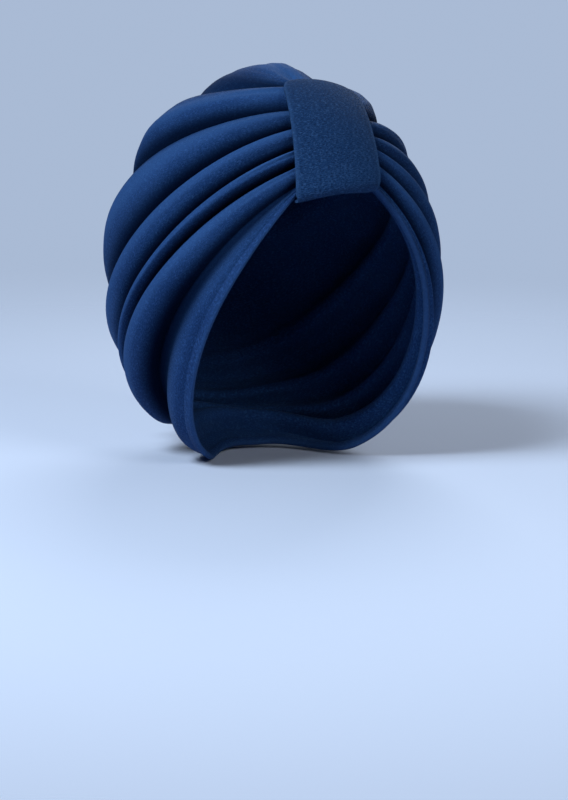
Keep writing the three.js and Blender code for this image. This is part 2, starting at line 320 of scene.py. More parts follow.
@dataclass(frozen=True)
class ClothLayout:
    """Directions, depths and swells of the cloth over the form, by place between the lines and by row."""

    form: HeadForm = field(default_factory=HeadForm)
    band: BandCourse = field(default_factory=BandCourse)
    wall: float = 2.2 * MM
    fold_depth: float = 11.0 * MM
    piece_gap: float = 0.35 * MM
    binding_width: float = 6.0 * MM
    binding_start: float = 0.4
    binding_widens: float = 0.35
    rows_under_band: float = 2.0
    rows: float = 26.0
    row_crowding: float = 1.15
    back_blend: float = 0.25
    gathered: float = 0.12

    def index(self, place: np.ndarray) -> np.ndarray:
        """Number of the fold that each place lies in."""
        return np.clip(np.floor(place).astype(int), 0, len(FOLDS) - 1)

    def between(self, place: np.ndarray, read: Callable[[FoldLine], float]) -> np.ndarray:
        """Value that the fold lines give at places between them.

        Args:
            place: Places, 0 at the hem and one more at each line.
            read: What to take from a line.

        Returns:
            The value at each place.
        """
        values = np.array([read(line) for line in FOLD_LINES], float)
        index = self.index(place)
        return mix(values[index], values[index + 1], place - index)

    def share(self, row: np.ndarray) -> np.ndarray:
        """Share of the way from the band's edge to the middle of the back."""
        way = (row - self.rows_under_band) / (self.rows - self.rows_under_band)
        return np.maximum(way, 0.0) ** self.row_crowding

    def arc(self, first: np.ndarray, middle: np.ndarray, last: np.ndarray, share: np.ndarray) -> np.ndarray:
        """Points of the circle through three directions.

        Args:
            first: Directions where the share is 0.
            middle: Directions that the circle passes.
            last: Directions where the share is 1.
            share: Share of the way.

        Returns:
            Directions on the circle.
        """
        axis = unit(np.cross(middle - first, last - first))
        centre = axis * np.sum(axis * first, axis=-1, keepdims=True)
        ahead = first - centre
        across = np.cross(axis, ahead)
        end = last - centre
        turn = np.arctan2(np.sum(end * across, axis=-1), np.sum(end * ahead, axis=-1))
        sweep = (share * np.where(turn < 0.0, turn + 2.0 * math.pi, turn))[..., None]
        return centre + ahead * np.cos(sweep) + across * np.sin(sweep)

    def direction(self, place: np.ndarray, side: Side, row: np.ndarray) -> np.ndarray:
        """Directions of the cloth from the middle of the head.

        Args:
            place: Places between the lines.
            side: Side of the head.
            row: Rows, from 0 under the band's middle to the middle of the back.

        Returns:
            Unit vectors, one for each pair of place and row.
        """
        place, row = np.broadcast_arrays(np.asarray(place, float), np.asarray(row, float))
        back_angle = np.radians(self.between(place, lambda line: line.back))
        back = np.stack([0.0 * back_angle, np.cos(back_angle), np.sin(back_angle)], axis=-1)
        outs, overs = {}, {}
        for which in Side:
            angle = self.between(place, lambda line: line.side(which).band)
            ear = np.radians(self.between(place, lambda line: line.side(which).ear))
            reach = self.between(place, lambda line: line.side(which).reach)
            half = self.band.half(angle) - self.binding_width / 4.0
            outs[which] = self.form.front(self.band.middle(angle) + which.value * reach * half, angle)
            overs[which] = np.stack([which.value * np.cos(ear), 0.0 * ear, np.sin(ear)], axis=-1)
        share = self.share(row)
        own = self.arc(outs[side], overs[side], back, share)
        far = self.arc(outs[side.other], overs[side.other], back, 2.0 - share)
        blend = 0.5 * smooth((share - 1.0 + self.back_blend) / self.back_blend)
        beside = unit(mix(own, far, blend[..., None]))
        start = np.minimum(row / self.rows_under_band, 1.0)[..., None]
        under = unit(mix(unit(outs[Side.RIGHT] + outs[Side.LEFT]), outs[side], start))
        return np.where((row < self.rows_under_band)[..., None], under, beside)

    def along(self, row: np.ndarray, band: np.ndarray, ear: np.ndarray, back: np.ndarray) -> np.ndarray:
        """Value along a fold from its values at the band, over the ear and at the back."""
        share = self.share(row)
        return mix(mix(band, ear, smooth(share * 2.0)), back, smooth(share * 2.0 - 1.0))

    def line_depth(self, number: np.ndarray, side: Side, row: np.ndarray) -> np.ndarray:
        """Depth of the numbered lines below the form."""
        bands = np.array([line.side(side).deep_band for line in FOLD_LINES])
        middles = np.array([(line.right.deep_band + line.left.deep_band) / 2.0 for line in FOLD_LINES])
        ears = np.array([line.side(side).deep_ear for line in FOLD_LINES])
        backs = np.array([line.deep_back for line in FOLD_LINES])
        under = np.minimum(row / self.rows_under_band, 1.0)
        filled = np.where(number == 0, 1.0, mix(self.gathered, 1.0, smooth(under)))
        start = mix(middles[number], bands[number], under) * filled
        return self.fold_depth * self.along(row, start, ears[number], backs[number])

    def binding_share(self, side: Side, row: np.ndarray) -> np.ndarray:
        """Share of the hem panel's width that the binding takes up. It narrows towards the band."""
        low = self.form.point(self.direction(0.0, side, row), -self.fold_depth + 0.0 * row)
        high = self.form.point(self.direction(1.0, side, row), -self.fold_depth + 0.0 * row)
        panel = np.linalg.norm(high - low, axis=-1)
        widened = smooth(self.share(row) / self.binding_widens)
        width = self.binding_width * mix(self.binding_start, 1.0, widened)
        return np.minimum(width, panel / 2.0) / panel


@dataclass(frozen=True)
class MelangeTone:
    """Colours of the melange yarn: the ground, the pale fibres in it, the dark ones, and the painted shade of
    the cloth deep in a crease."""

    ground: tuple[float, float, float]
    pale: tuple[float, float, float]
    dark: tuple[float, float, float]
    painted_shade: tuple[float, float, float] = (0.0005, 0.002, 0.009)


class NodeKit:
    """Small helper that adds and links nodes in one tree."""

    def __init__(self, tree: bpy.types.NodeTree) -> None:
        """Keeps the tree that nodes are added to."""
        self.tree = tree

    def add(self, kind: str, **settings: object) -> bpy.types.Node:
        """Adds a node.

        Args:
            kind: Node type name.
            **settings: Properties of the node.

        Returns:
            The new node.
        """
        node = self.tree.nodes.new(kind)
        for name, value in settings.items():
            setattr(node, name, value)
        return node

    def feed(self, socket: bpy.types.NodeSocket, value: object) -> None:
        """Links a socket to an output, or sets its value."""
        if isinstance(value, bpy.types.NodeSocket):
            self.tree.links.new(value, socket)
        else:
            socket.default_value = value

    def math(self, operation: str, *values: object) -> bpy.types.NodeSocket:
        """Adds a math node.

        Args:
            operation: Name of the operation.
            *values: Its inputs, outputs of nodes or numbers.

        Returns:
            The result's socket.
        """
        node = self.add("ShaderNodeMath", operation=operation)
        for socket, value in zip(node.inputs, values):
            self.feed(socket, value)
        return node.outputs[0]

    def blend(self, share: object, first: object, last: object) -> bpy.types.NodeSocket:
        """Adds a colour mix and gives its result."""
        node = self.add("ShaderNodeMix", data_type="RGBA")
        self.feed(node.inputs[0], share)
        self.feed(node.inputs[6], first)
        self.feed(node.inputs[7], last)
        return node.outputs[2]

    def remap(
        self, value: object, low: float, high: float, to_low: float = 0.0, to_high: float = 1.0
    ) -> bpy.types.NodeSocket:
        """Adds a clamped, eased map range.

        Args:
            value: What is mapped.
            low: Value that becomes to_low.
            high: Value that becomes to_high.
            to_low: Result at and below the low value.
            to_high: Result at and above the high value.

        Returns:
            The result's socket.
        """
        node = self.add("ShaderNodeMapRange", interpolation_type="SMOOTHSTEP")
        names = ("From Min", "From Max", "To Min", "To Max")
        for name, number in zip(names, (low, high, to_low, to_high)):
            node.inputs[name].default_value = number
        self.feed(node.inputs["Value"], value)
        return node.outputs["Result"]

    def noise(
        self, vector: object, scale: object, detail: float = 2.0, roughness: float = 0.5
    ) -> bpy.types.NodeSocket:
        """Adds a noise texture.

        Args:
            vector: Coordinates that it is read at.
            scale: Its scale.
            detail: Octaves.
            roughness: Weight of the finer octaves.

        Returns:
            The socket of its value.
        """
        node = self.add("ShaderNodeTexNoise")
        self.feed(node.inputs["Vector"], vector)
        self.feed(node.inputs["Scale"], scale)
        node.inputs["Detail"].default_value = detail
        node.inputs["Roughness"].default_value = roughness
        return node.outputs["Fac"]

    def weigh(self, first: object, last: object, share: float) -> bpy.types.NodeSocket:
        """Adds two values up, a share of the last and the rest of the first."""
        return self.math("ADD", self.math("MULTIPLY", first, 1.0 - share), self.math("MULTIPLY", last, share))


def new_group(
    name: str, inputs: Sequence[tuple[str, str, object]], outputs: Sequence[tuple[str, str]]
) -> tuple[bpy.types.NodeTree, NodeKit, bpy.types.Node, bpy.types.Node]:
    """Starts a shader node group.

    Args:
        name: The group's name.
        inputs: Name, socket type and default of each input.
        outputs: Name and socket type of each output.

    Returns:
        The tree, its kit, and its input and output nodes.
    """
    tree = bpy.data.node_groups.new(name, "ShaderNodeTree")
    for label, kind, default in inputs:
        socket = tree.interface.new_socket(label, in_out="INPUT", socket_type=kind)
        if default is not None:
            socket.default_value = default
    for label, kind in outputs:
        tree.interface.new_socket(label, in_out="OUTPUT", socket_type=kind)
    kit = NodeKit(tree)
    return tree, kit, kit.add("NodeGroupInput"), kit.add("NodeGroupOutput")


FLOAT = "NodeSocketFloat"
COLOR = "NodeSocketColor"
VECTOR = "NodeSocketVector"
# Attribute names: the painted shade in the creases, and the painted highlight.
CREASE = "crease"
PAINTED_HIGHLIGHT = "painted_highlight"
SHARP_EDGE = 60.0
FIBRE_DRAW = 0.35
COARSE_FIBRE = 0.31
PATCH_SCALE = 26.0
FUZZ_SCALE = 2600.0
WOBBLE_SCALE = 120.0
WOBBLE = 0.9 * MM
STREAK_SHARE = 0.55
COARSE_SHARE = 0.3
PALE_RANGE = (0.49, 0.62)
DARK_RANGE = (0.38, 0.5)
WASH_RANGE = (0.35, 0.7)
WASH = 0.16
LOOP_SLANT = 1.4
LOOP_DEPTH = 0.35
FUZZ_HEIGHT = 0.9


def melange_group() -> bpy.types.NodeTree:
    """Builds the group that mixes pale and dark fibres into the ground colour of the yarn.

    Returns:
        A group with the colour of the cloth and a mask of its pale fibres.
    """
    tree, kit, given, result = new_group(
        "melange yarn",
        (
            ("Place", VECTOR, None),
            ("Cloth", VECTOR, None),
            ("Ground", COLOR, (0.02, 0.05, 0.12, 1.0)),
            ("Pale", COLOR, (0.1, 0.16, 0.28, 1.0)),
            ("Dark", COLOR, (0.004, 0.01, 0.03, 1.0)),
            ("Fibre Scale", FLOAT, 1400.0),
            ("Fleck", FLOAT, 0.5),
        ),
        (("Color", COLOR), ("Pale Mask", FLOAT)),
    )
    place, scale = given.outputs["Place"], given.outputs["Fibre Scale"]
    drawn = kit.add("ShaderNodeVectorMath", operation="MULTIPLY")
    kit.feed(drawn.inputs[0], given.outputs["Cloth"])
    drawn.inputs[1].default_value = (FIBRE_DRAW, 1.0, 1.0)
    spots = kit.noise(place, scale, 2.0, 0.6)
    streaks = kit.noise(drawn.outputs["Vector"], scale, 1.0)
    fine = kit.weigh(spots, streaks, STREAK_SHARE)
    coarse = kit.noise(place, kit.math("MULTIPLY", scale, COARSE_FIBRE))
    patch = kit.noise(place, PATCH_SCALE)
    pale = kit.remap(kit.weigh(fine, coarse, COARSE_SHARE), *PALE_RANGE)
    dark = kit.remap(fine, *DARK_RANGE, 1.0, 0.0)
    pale_share = kit.math("MULTIPLY", pale, given.outputs["Fleck"])
    dark_share = kit.math("MULTIPLY", dark, given.outputs["Fleck"])
    wash = kit.remap(patch, *WASH_RANGE, 0.0, WASH)
    washed = kit.blend(wash, given.outputs["Ground"], given.outputs["Pale"])
    shaded = kit.blend(dark_share, washed, given.outputs["Dark"])
    kit.feed(result.inputs["Color"], kit.blend(pale_share, shaded, given.outputs["Pale"]))
    kit.feed(result.inputs["Pale Mask"], pale_share)
    return tree


def knit_group() -> bpy.types.NodeTree:
    """Builds the group for the surface of plain jersey: columns of stitches with loops leaning both ways.

    Returns:
        A group with the height of the knit and a mask of the grooves between its columns.
    """
    tree, kit, given, result = new_group(
        "jersey knit",
        (
            ("Cloth", VECTOR, None),
            ("Place", VECTOR, None),
            ("Wale", FLOAT, 0.7 * MM),
            ("Course", FLOAT, 0.6 * MM),
        ),
        (("Height", FLOAT), ("Groove", FLOAT)),
    )
    split = kit.add("ShaderNodeSeparateXYZ")
    kit.feed(split.inputs[0], given.outputs["Cloth"])
    drift = kit.noise(given.outputs["Place"], WOBBLE_SCALE, 1.0)
    wobble = kit.math("MULTIPLY", kit.math("SUBTRACT", drift, 0.5), WOBBLE)
    across = kit.math("ADD", split.outputs["Y"], wobble)
    column = kit.math("PINGPONG", kit.math("DIVIDE", across, given.outputs["Wale"]), 0.5)
    slant = kit.math("MULTIPLY", column, LOOP_SLANT)
    row = kit.math("ADD", kit.math("DIVIDE", split.outputs["X"], given.outputs["Course"]), slant)
    loop = kit.math("SINE", kit.math("MULTIPLY", row, 2.0 * math.pi))
    ridge = kit.math("SINE", kit.math("MULTIPLY", column, 2.0 * math.pi))
    looped = kit.math("ADD", kit.math("MULTIPLY", loop, LOOP_DEPTH), 1.0 - LOOP_DEPTH)
    yarn = kit.math("MULTIPLY", looped, ridge)
    fuzz = kit.noise(given.outputs["Place"], FUZZ_SCALE)
    kit.feed(result.inputs["Height"], kit.math("ADD", yarn, kit.math("MULTIPLY", fuzz, FUZZ_HEIGHT)))
    kit.feed(result.inputs["Groove"], kit.remap(ridge, 0.0, 0.5, 1.0, 0.0))
    return tree


@dataclass(frozen=True)
class JerseyFinish:
    """Finish of melange jersey, with the colours of its yarn and the size and depth of its knit.

    On a piece with painted crease shade, shade is painted deep in the creases: the colour is darker and the
    sheen and gloss are weaker there. Painted highlight lightens the colour towards the pale fibres.
    """

    name: str
    tone: MelangeTone
    fleck: float = 0.42
    wale: float = 0.75 * MM
    course: float = 0.65 * MM
    knit_depth: float = 0.12 * MM
    roughness: float = 0.86
    sheen: float = 0.05
    sheen_tint: tuple[float, float, float] = (0.2, 0.45, 0.95)
    fibre_scale: float = 2000.0
    gloss: float = 0.08
    # Strength of the painted highlight.
    highlight_strength: float = 0.35
    crease_shade: float = 0.95
    groove_shade: float = 0.3
    sheen_roughness: float = 0.4
    pale_smoothing: float = 0.12
    paints_crease_shade: bool = False

    def build(self, melange: bpy.types.NodeTree, knit: bpy.types.NodeTree) -> bpy.types.Material:
        """Builds the material.

        Args:
            melange: Group of the yarn's colours.
            knit: Group of the knit's surface.

        Returns:
            The material.
        """
        material = bpy.data.materials.new(self.name)
        material.use_nodes = True
        tree = material.node_tree
        kit = NodeKit(tree)
        shader = tree.nodes["Principled BSDF"]
        place = kit.add("ShaderNodeTexCoord").outputs["Object"]
        cloth = kit.add("ShaderNodeUVMap", uv_map="cloth").outputs["UV"]
        yarn = kit.add("ShaderNodeGroup", node_tree=melange)
        stitches = kit.add("ShaderNodeGroup", node_tree=knit)
        kit.feed(yarn.inputs["Place"], place)
        kit.feed(yarn.inputs["Cloth"], cloth)
        tones = {"Ground": self.tone.ground, "Pale": self.tone.pale, "Dark": self.tone.dark}
        for label, colour in tones.items():
            yarn.inputs[label].default_value = (*colour, 1.0)
        yarn.inputs["Fibre Scale"].default_value = self.fibre_scale
        yarn.inputs["Fleck"].default_value = self.fleck
        kit.feed(stitches.inputs["Cloth"], cloth)
        kit.feed(stitches.inputs["Place"], place)
        stitches.inputs["Wale"].default_value = self.wale
        stitches.inputs["Course"].default_value = self.course
        # Painted shade in the knit: the colour darkens towards the dark fibres in the grooves between stitch
        # columns.
        groove = kit.math("MULTIPLY", stitches.outputs["Groove"], self.groove_shade)
        grooved = kit.blend(groove, yarn.outputs["Color"], (*self.tone.dark, 1.0))
        # Painted highlight: the colour is lightened towards the pale fibres.
        painted_highlight = kit.add("ShaderNodeAttribute", attribute_name=PAINTED_HIGHLIGHT).outputs["Fac"]
        colour = kit.blend(kit.math("MULTIPLY", painted_highlight, self.highlight_strength), grooved, (*self.tone.pale, 1.0))
        sheen, gloss = self.sheen, self.gloss
        # Painted shade deep in the creases: the colour darkens towards near black and the sheen and gloss
        # weaken.
        if self.paints_crease_shade:
            crease = kit.add("ShaderNodeAttribute", attribute_name=CREASE).outputs["Fac"]
            shade = kit.math("MULTIPLY", crease, self.crease_shade)
            colour = kit.blend(shade, colour, (*self.tone.painted_shade, 1.0))
            open_share = kit.math("SUBTRACT", 1.0, crease)
            sheen = kit.math("MULTIPLY", open_share, self.sheen)
            gloss = kit.math("MULTIPLY", open_share, self.gloss)
        relief = kit.add("ShaderNodeBump")
        relief.inputs["Strength"].default_value = 1.0
        relief.inputs["Distance"].default_value = self.knit_depth
        kit.feed(relief.inputs["Height"], stitches.outputs["Height"])
        smoothest = self.roughness - self.pale_smoothing
        kit.feed(shader.inputs["Base Color"], colour)
        rough = kit.remap(yarn.outputs["Pale Mask"], 0.0, 1.0, self.roughness, smoothest)
        kit.feed(shader.inputs["Roughness"], rough)
        kit.feed(shader.inputs["Normal"], relief.outputs["Normal"])
        kit.feed(shader.inputs["Sheen Weight"], sheen)
        kit.feed(shader.inputs["Specular IOR Level"], gloss)
        shader.inputs["Sheen Roughness"].default_value = self.sheen_roughness
        shader.inputs["Sheen Tint"].default_value = (*self.sheen_tint, 1.0)
        return material


def mesh_piece(
    name: str,
    points: np.ndarray,
    faces: Sequence[Sequence[int]],
    cloth: np.ndarray,
    painted_highlight: np.ndarray,
    crease: np.ndarray | None = None,
) -> bpy.types.Object:
    """Makes a smooth-shaded piece with cloth coordinates.

    Args:
        name: The piece's name.
        points: Its vertices.
        faces: Vertex numbers of each face, seen from outside counter-clockwise.
        cloth: Cloth coordinates of each vertex in metres, along and across the knit.
        painted_highlight: How much painted highlight each vertex gets, from 0 to 1.
        crease: Painted shade of each vertex in the creases, from 0 to 1, on a piece with painted crease
            shade.

    Returns:
        The new object, linked to the scene.
    """
    mesh = bpy.data.meshes.new(name)
    mesh.from_pydata(points.tolist(), [], [tuple(int(i) for i in f) for f in faces])
    mesh.validate()
    layer = mesh.uv_layers.new(name="cloth")
    corners = np.zeros(len(mesh.loops), np.int32)
    mesh.loops.foreach_get("vertex_index", corners)
    layer.data.foreach_set("uv", cloth[corners].astype(np.float32).ravel())
    masks = {PAINTED_HIGHLIGHT: painted_highlight} if crease is None else {PAINTED_HIGHLIGHT: painted_highlight, CREASE: crease}
    for label, values in masks.items():
        mesh.attributes.new(label, "FLOAT", "POINT").data.foreach_set("value", values)
    mesh.shade_smooth()
    mesh.set_sharp_from_angle(angle=math.radians(SHARP_EDGE))
    piece = bpy.data.objects.new(name, mesh)
    bpy.context.scene.collection.objects.link(piece)
    return piece


def grid_faces(columns: int, rows: int, start: int = 0, flip: bool = False) -> np.ndarray:
    """Quads of a grid whose vertices are numbered row by row within each column.

    Args:
        columns: Number of columns.
        rows: Number of rows in each column.
        start: Number of the first vertex.
        flip: Whether the faces look the other way.

    Returns:
        Vertex numbers of each quad.
    """
    column, row = np.meshgrid(np.arange(columns - 1), np.arange(rows - 1), indexing="ij")
    low = (start + column * rows + row).ravel()
    quads = np.stack([low, low + 1, low + rows + 1, low + rows], axis=-1)
    return quads[:, ::-1] if flip else quads


def run_length(points: np.ndarray, axis: int) -> np.ndarray:
    """Length along one axis of a grid of points, from its start."""
    steps = np.linalg.norm(np.diff(points, axis=axis), axis=-1)
    start = np.zeros_like(np.take(steps, [0], axis=axis))
    return np.concatenate([start, np.cumsum(steps, axis=axis)], axis=axis)


@dataclass
class TurbanCloth:
    """The cap: one sheet of jersey in seven folds a side, hollow, with a wall of even thickness."""

    layout: ClothLayout
    steps_per_fold: int = 26
    low_share: float = 0.58
    row_steps: int = 5
    crease_depth: float = 3.0 * MM
    crease_power: int = 6
    crease_run: float = 1.0 / 3.0
    ripple: float = 0.35 * MM
    ripple_left: float = 0.35
    ripple_fade: float = 5.0
    seat_share: float = 0.6
    # Painted shade in the creases: where it starts and where it is full below and above each crest, and how
    # far it spreads over the hem panel's upper flank on each side.
    shade_below: tuple[float, float] = (0.66, 0.22)
    shade_above: tuple[float, float] = (0.52, 0.2)
    panel_shade: dict[Side, float] = field(default_factory=lambda: {Side.RIGHT: 1.0, Side.LEFT: 1.3})
    # Painted highlight on the fold crests starts at this share of the rise.
    highlight_start: float = 0.86
    name: str = "turban_cloth_jersey"

    def course(self, side: Side, row: np.ndarray) -> tuple[np.ndarray, np.ndarray, np.ndarray, np.ndarray]:
        """Course of the sheet over the folds, with the crest of each fold on a line of the grid.

        Args:
            side: Side of the head.
            row: Rows, as one row of an array.

        Returns:
            Places between the lines, the share of the way and of the rise from a line to the crest, and
            whether it is below the crest.
        """
        step = np.arange(len(FOLDS) * self.steps_per_fold + 1)[:, None] / self.steps_per_fold + 0.0 * row
        index = self.layout.index(step)
        rows = row + 0.0 * step
        sides = [np.array([fold.side(which).crest_band for fold in FOLDS])[index] for which in Side]
        own = np.array([fold.side(side).crest_band for fold in FOLDS])[index]
        crest = self.layout.along(
            rows,
            mix(0.5 * (sides[0] + sides[1]), own, np.minimum(rows / self.layout.rows_under_band, 1.0)),
            np.array([fold.side(side).crest_ear for fold in FOLDS])[index],
            np.array([fold.crest_back for fold in FOLDS])[index],
        )
        part = step - index
        bend = np.where(crest < 1.0, self.low_share, 1.0)
        low = part <= bend
        way = np.where(low, part / bend, (1.0 - part) / np.maximum(1.0 - bend, 1e-6))
        phase = np.where(low, crest * way, 1.0 - (1.0 - crest) * way)
        fullness = np.where(
            low,
            np.array([fold.full_low for fold in FOLDS])[index],
            np.array([fold.full_high for fold in FOLDS])[index],
        )
        slots = np.array([line.slot for line in FOLD_LINES])
        slot = np.where(low, slots[index], slots[index + 1])
        out = np.clip((way - slot) / (1.0 - slot), 0.0, 1.0)
        rise = np.sin(0.5 * math.pi * out) ** fullness
        return index + phase, way, rise, low

    def small_folds(self, place: np.ndarray, side: Side, row: np.ndarray) -> np.ndarray:
        """Heights of the fine tension lines that run with the folds, fading towards the back."""
        share = self.layout.share(row)
        total = 0.0 * place
        for wave in WAVES:
            slant = wave.lean * share * (1.0 - share) * side.value + wave.slant * share
            total = total + wave.height * np.sin(2.0 * math.pi * (wave.count * place + slant) + wave.start)
        fade = mix(np.exp(-share * self.ripple_fade), 1.0, self.ripple_left)
        return self.ripple * total * fade * smooth(place)

    def shading(
        self, side: Side, way: np.ndarray, low: np.ndarray, index: np.ndarray, depth: np.ndarray
    ) -> np.ndarray:
        """Painted shade of the cloth in the creases.

        Args:
            side: Side of the head.
            way: Shares of the way from a line to the crest.
            low: Whether it is below the crest.
            index: Number of the fold.
            depth: Depth of the nearer line as a share of the deepest fold.

        Returns:
            Painted shade, from 0 on the crests to 1 in the deepest creases. The hem has none.
        """
        below = smooth((self.shade_below[0] - way) / (self.shade_below[0] - self.shade_below[1]))
        above = smooth((self.shade_above[0] - way) / (self.shade_above[0] - self.shade_above[1]))
        above = np.where(index == 0, smooth(self.panel_shade[side] - way), above)
        hem = low & (index == 0)
        return np.where(hem, 0.0, np.where(low, below, above) * np.sqrt(depth))

    def outer(self) -> tuple[np.ndarray, np.ndarray, np.ndarray]:
        """Outer face of the cloth.

        Returns:
            Points by column, from the right hem over the crown to the left hem, and by row, the painted shade
            of each in the creases, and its painted highlight.
        """
        layout = self.layout
        row = np.linspace(0.0, layout.rows, int(layout.rows) * self.row_steps + 1)[None, :]
        sides = []
        for side in (Side.RIGHT, Side.LEFT):
            place, way, rise, low = self.course(side, row)
            rows = row + 0.0 * place
            binding = layout.binding_share(side, row[0])
            seat = np.where(place < 1.0, mix((self.seat_share * binding)[None, :], 1.0, place), place)
            index = layout.index(np.arange(len(place)) / self.steps_per_fold)[:, None]
            index = index + 0 * rows.astype(int)
            number = np.where(low, index, index + 1)
            start = smooth(1.0 - layout.share(rows) / self.crease_run)
            line_depth = layout.line_depth(number, side, rows)
            swell = layout.fold_depth * layout.along(
                rows,
                np.array([fold.swell_band for fold in FOLDS])[index],
                np.array([fold.side(side).swell for fold in FOLDS])[index],
                np.array([fold.swell_back for fold in FOLDS])[index],
            )
            crown = np.maximum(place - len(FOLDS) + 1, 0.0)
            crease = self.crease_depth * crown**self.crease_power * start
            height = swell * rise - line_depth * (1.0 - rise) - crease
            height = height + self.small_folds(place, side, rows) * rise
            # Painted shade in the creases, deepest where the lines are deep.
            painted_shade = self.shading(side, way, low, index, line_depth / layout.fold_depth)
            points = layout.form.point(layout.direction(seat, side, rows), height)
            # Painted highlight along the fold crests; none on the hem panel.
            highlit = smooth((rise - self.highlight_start) / (1.0 - self.highlight_start))
            painted_highlight = np.where(index == 0, 0.0, highlit)
            sides.append(np.concatenate([points, painted_shade[..., None], painted_highlight[..., None]], axis=-1))
        right, left = sides
        middle = 0.5 * (right[-1:] + left[-1:])
        whole = np.concatenate([right[:-1], middle, left[:-1][::-1]], axis=0)
        return whole[..., :3], whole[..., 3], whole[..., 4]

    def normals(self, grid: np.ndarray) -> np.ndarray:
        """Directions out of the cloth's outer face. The two sides meet along the first and the last row."""
        wrapped = np.concatenate([grid[::-1, 1:2], grid, grid[::-1, -2:-1]], axis=1)
        along = wrapped[:, 2:] - wrapped[:, :-2]
        padded = np.concatenate([grid[:1], grid, grid[-1:]], axis=0)
        over = padded[2:] - padded[:-2]
        out = unit(np.cross(over, along))
        crown = len(FOLDS) * self.steps_per_fold
        covered = self.row_steps * int(self.layout.rows_under_band)
        out[crown, :covered] = out[crown, covered]
        out[crown, -2:] = out[crown, -3]
        return out

    def build(self) -> bpy.types.Object:
        """Builds the cloth as a closed wall.

        Returns:
            The cloth's object.
        """
        grid, crease, painted_highlight = self.outer()
        inner = grid - self.normals(grid) * self.layout.wall
        columns, rows = grid.shape[:2]
        count = columns * rows
        along = run_length(grid, 1)
        middle_row = run_length(grid[:, rows // 2], 0)
        cloth = np.stack([along, middle_row[:, None] + 0.0 * along], axis=-1).reshape(-1, 2)
        faces = [*grid_faces(columns, rows, flip=True), *grid_faces(columns, rows, start=count)]
        for column, flip in ((0, False), (columns - 1, True)):
            first = column * rows + np.arange(rows - 1)
            quads = np.stack([first, first + 1, first + 1 + count, first + count], axis=-1)
            faces.extend(quads if not flip else quads[:, ::-1])
        points = np.concatenate([grid.reshape(-1, 3), inner.reshape(-1, 3)])
        # The inside gets no painted shade and no painted highlight.
        inside = 0.0 * crease.ravel()
        highlit, depth = (np.concatenate([values.ravel(), inside]) for values in (painted_highlight, crease))
        piece = mesh_piece(self.name, points, faces, np.concatenate([cloth, cloth]), highlit, depth)
        weld_edges(piece)
        return piece

    def dress(self, piece: bpy.types.Object, material: bpy.types.Material) -> None:
        """Gives the cloth its jersey, hangs it on the body and hides the frame's cloth."""
        piece.data.materials.append(material)
        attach(piece, BODY)
        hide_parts("turban_cloth")


def weld_edges(piece: bpy.types.Object, distance: float = 1e-5) -> None:
    """Joins vertices in one place, along the lines where a grid meets itself."""
    shape = bmesh.new()
    shape.from_mesh(piece.data)
    bmesh.ops.remove_doubles(shape, verts=shape.verts, dist=distance)
    bmesh.ops.recalc_face_normals(shape, faces=shape.faces)
    shape.to_mesh(piece.data)
    shape.free()


